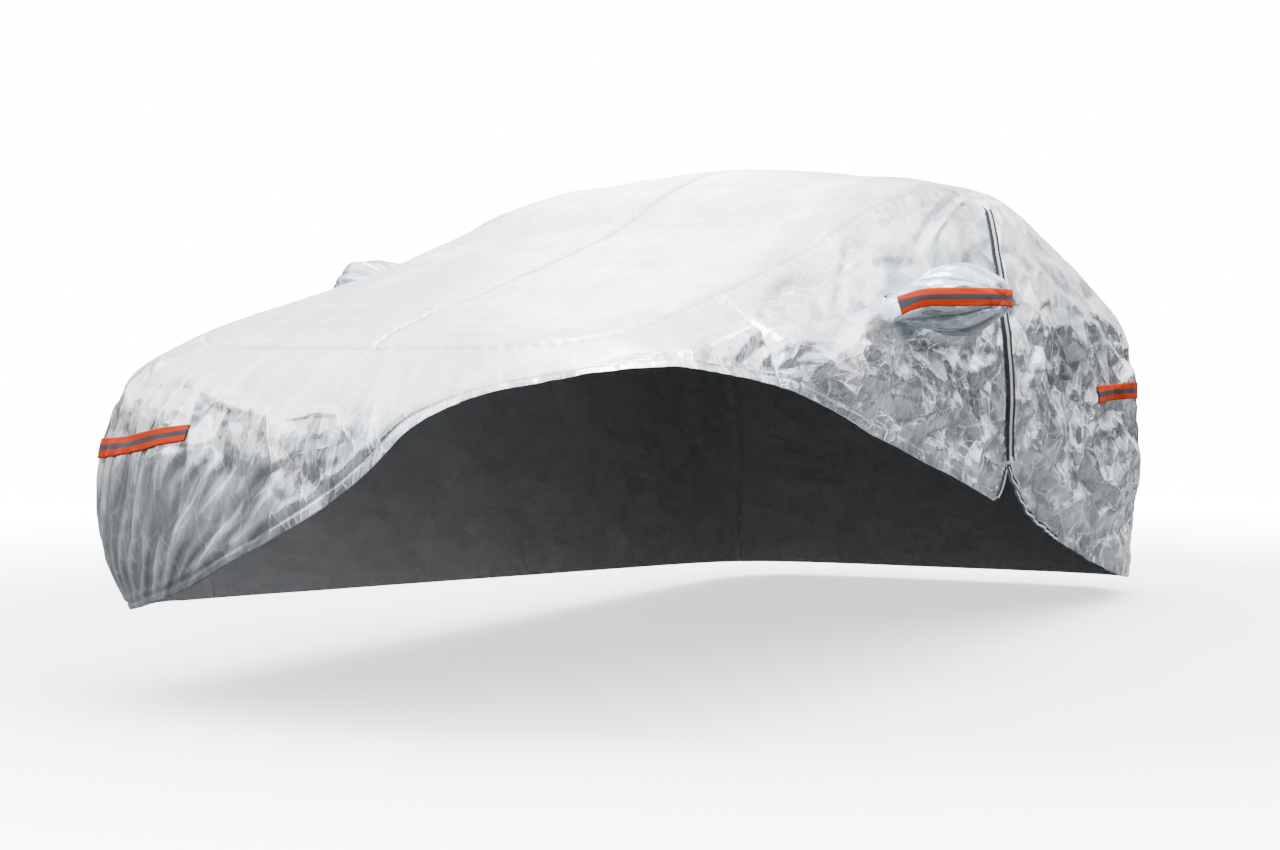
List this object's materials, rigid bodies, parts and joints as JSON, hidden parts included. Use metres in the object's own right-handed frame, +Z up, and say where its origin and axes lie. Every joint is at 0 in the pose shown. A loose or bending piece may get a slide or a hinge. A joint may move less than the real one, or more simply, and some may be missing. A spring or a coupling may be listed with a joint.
{
  "type": "car cover",
  "caption": "Hollow fitted cover for a compact hatchback in crumpled silver laminate, with mirror pockets, a side zip, reflective strips and a drawn-up front edge.",
  "frame": {"origin": "the point under the middle of the roof where the car holds the cover up", "axes": "+X to the car's left, +Y to its rear, +Z up"},
  "size_m": [2.2922, 4.5772, 1.5073],
  "materials": {
    "foil_cloth": "crumpled aluminium laminate on a padded cloth, satin to bright",
    "pocket_foil": "the same laminate, drawn over the mirror",
    "reflective_strip": "fluorescent orange tape with a grey reflective stripe",
    "zip_tape": "black woven tape with moulded teeth",
    "zip_metal": "plated die-cast slider"
  },
  "bodies": {
    "root": {"top_left": "foil_cloth", "top_right": "foil_cloth", "front_skirt": "foil_cloth", "side_left_front": "foil_cloth", "side_left_rear": "foil_cloth", "side_right": "foil_cloth", "rear_skirt": "foil_cloth", "mirror_pocket_left": "pocket_foil", "mirror_pocket_right": "pocket_foil", "strip_front_right": "reflective_strip", "strip_mirror_left": "reflective_strip", "strip_rear_left": "reflective_strip", "zip_closed": "zip_tape", "zip_open_front": "zip_tape", "zip_open_rear": "zip_tape", "zip_slider": "zip_metal"}
  },
  "joints": []
}
